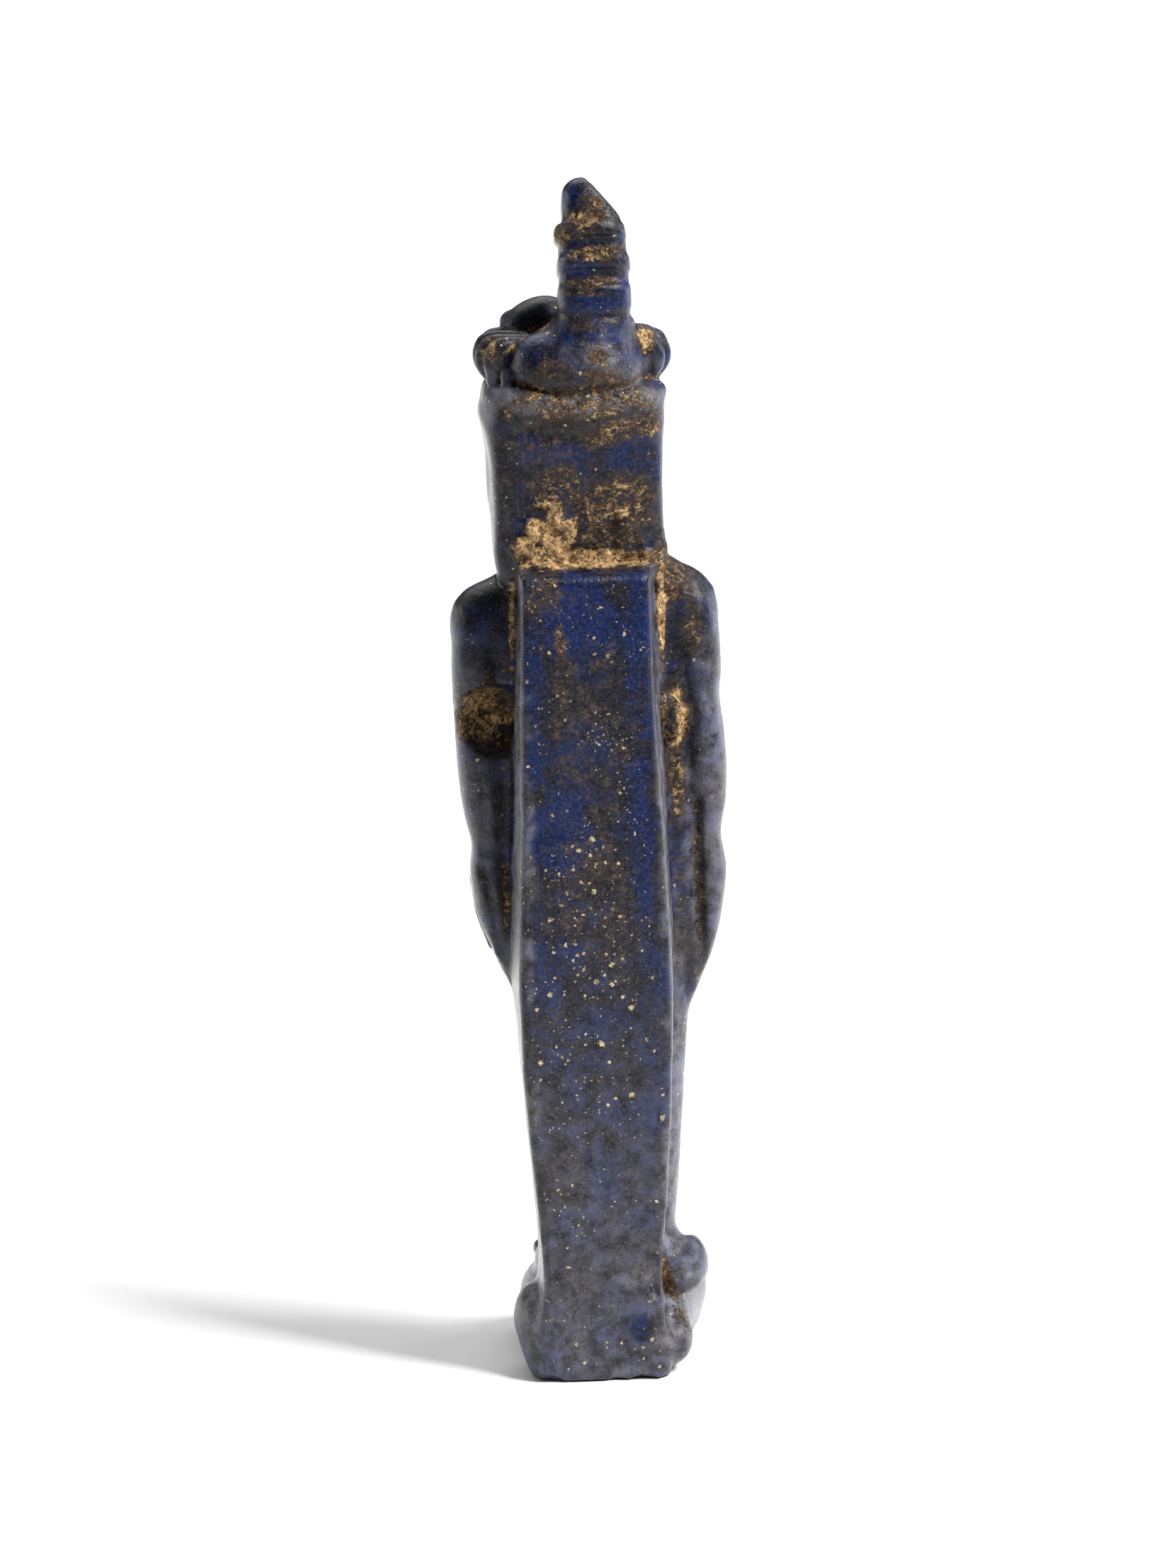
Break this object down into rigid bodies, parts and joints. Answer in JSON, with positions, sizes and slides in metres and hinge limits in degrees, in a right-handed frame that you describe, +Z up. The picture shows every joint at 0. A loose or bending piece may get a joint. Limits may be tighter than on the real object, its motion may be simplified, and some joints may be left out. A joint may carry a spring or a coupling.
{
  "type": "amulet figurine",
  "caption": "Small carved stone figurine of a standing goddess, with a scorpion on her head, a back pillar and a low base.",
  "frame": {"origin": "on the base's underside, below the middle of the back pillar", "axes": "+Z up along the figure, -Y the way she faces, +X towards her left"},
  "size_m": [0.009, 0.0088, 0.0399],
  "materials": {
    "lapis": "worn polish, with soil in the recesses"
  },
  "bodies": {
    "root": {"goddess_figurine": "lapis"}
  },
  "joints": []
}
